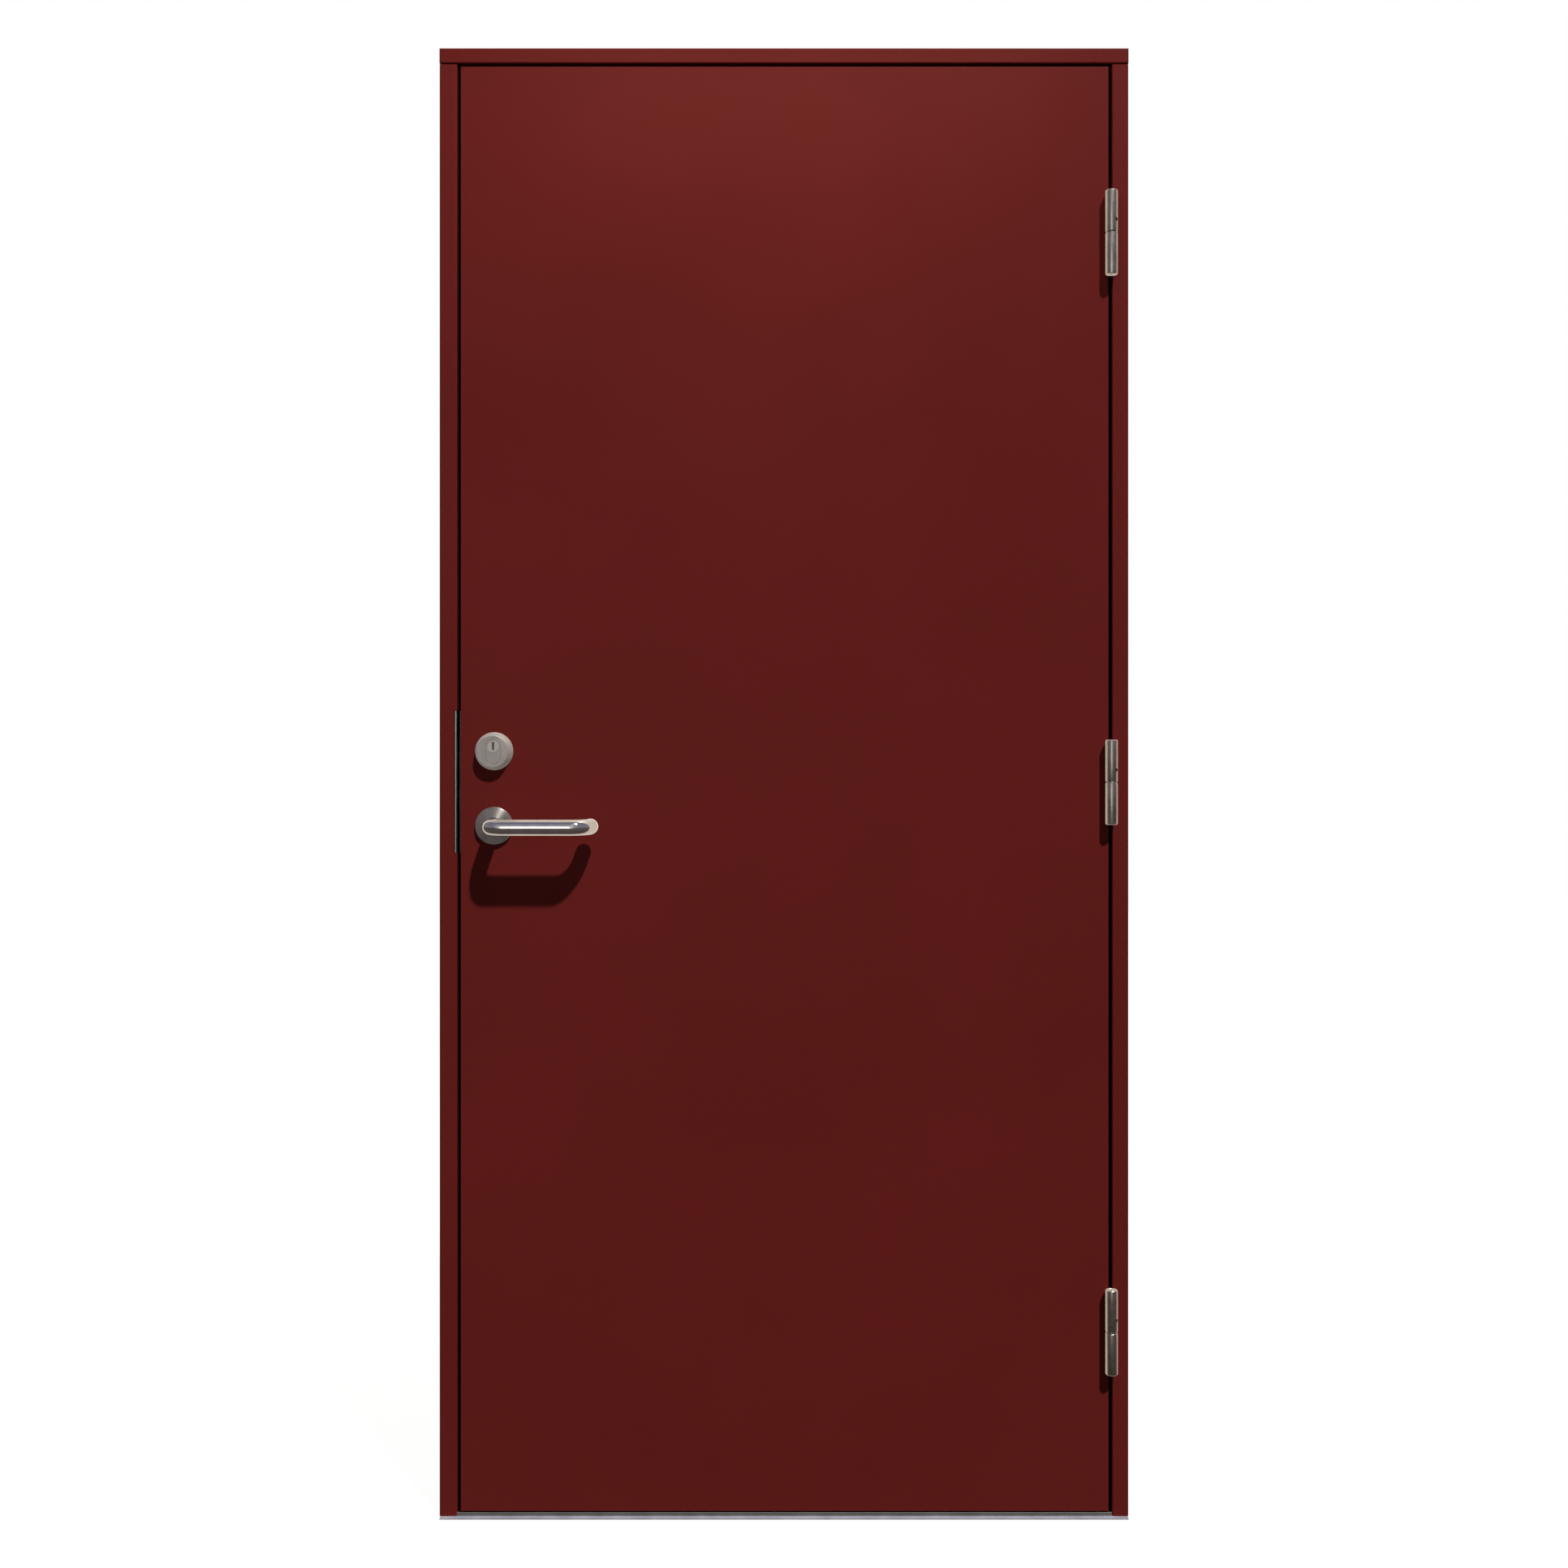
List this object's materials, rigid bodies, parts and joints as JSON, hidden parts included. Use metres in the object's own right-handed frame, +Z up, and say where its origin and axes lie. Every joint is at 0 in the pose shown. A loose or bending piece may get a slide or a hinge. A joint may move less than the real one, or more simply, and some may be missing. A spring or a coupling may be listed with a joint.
{
  "type": "exterior door",
  "caption": "flush red painted steel exterior door in a narrow steel frame with threshold, barrel hinges on the right, a round bar lever and a lock cylinder",
  "frame": {"origin": "middle of the threshold's underside, in the plane of the frame's outer face", "axes": "+X to the right seen from outside, +Y into the building, +Z up"},
  "size_m": [0.98, 0.176, 2.09],
  "materials": {
    "red_paint": "satin dark red paint",
    "black_plastic": "matte black",
    "seal_rubber": "matte black rubber",
    "threshold_steel": "brushed stainless",
    "lock_steel": "zinc plated satin",
    "handle_steel": "satin stainless",
    "cylinder_metal": "satin nickel",
    "hinge_steel": "satin steel",
    "core_foam": "foam, inside the leaf"
  },
  "bodies": {
    "frame": {"head_outer": "red_paint", "head_inner": "red_paint", "strike_jamb_outer": "red_paint", "strike_jamb_inner": "red_paint", "hinge_jamb_outer": "red_paint", "hinge_jamb_inner": "red_paint", "thermal_breaks": "black_plastic", "corner_gaskets": "black_plastic", "threshold_plate": "threshold_steel", "threshold_stop": "threshold_steel", "strike_plate": "lock_steel", "jamb_sleeves": "lock_steel", "head_seal": "seal_rubber", "strike_side_seal": "seal_rubber", "hinge_side_seal": "seal_rubber", "threshold_seal": "seal_rubber", "hinge_rings": "hinge_steel", "bottom_hinge_frame_half": "hinge_steel", "bottom_hinge_pin": "hinge_steel", "middle_hinge_frame_half": "hinge_steel", "middle_hinge_pin": "hinge_steel", "top_hinge_frame_half": "hinge_steel", "top_hinge_pin": "hinge_steel"},
    "leaf": {"leaf_outer_skin": "red_paint", "leaf_inner_skin": "red_paint", "leaf_core": "core_foam", "lock_case": "lock_steel", "lock_forend": "lock_steel", "latch_bolt": "lock_steel", "dead_bolt": "lock_steel", "outside_cylinder_ring": "cylinder_metal", "outside_cylinder_body": "cylinder_metal", "inside_cylinder_ring": "cylinder_metal", "inside_thumbturn": "cylinder_metal", "outside_rose": "handle_steel", "inside_rose": "handle_steel", "hinge_set_screws": "lock_steel", "bottom_hinge_door_half": "hinge_steel", "middle_hinge_door_half": "hinge_steel", "top_hinge_door_half": "hinge_steel"},
    "lever": {"outside_lever": "handle_steel", "inside_lever": "handle_steel", "lever_spindle": "lock_steel"},
    "key_plug": {"key_plug": "cylinder_metal"}
  },
  "joints": [
    {"name": "leaf_swing", "type": "hinge", "parent": "frame", "child": "leaf", "pos_m": [0.4641, -0.0095, 0], "axis": [0, 0, 1], "range_deg": [0, 170]},
    {"name": "lever_turn", "type": "hinge", "parent": "leaf", "child": "lever", "pos_m": [-0.412, 0, 0.984], "axis": [0, 1, 0], "range_deg": [0, 45], "stiffness_Nm_per_rad": 1.5, "springref_deg": -34.38},
    {"name": "key_plug_turn", "type": "hinge", "parent": "leaf", "child": "key_plug", "pos_m": [-0.412, 0, 1.0967], "axis": [0, 1, 0], "range_deg": [-90, 90]}
  ]
}
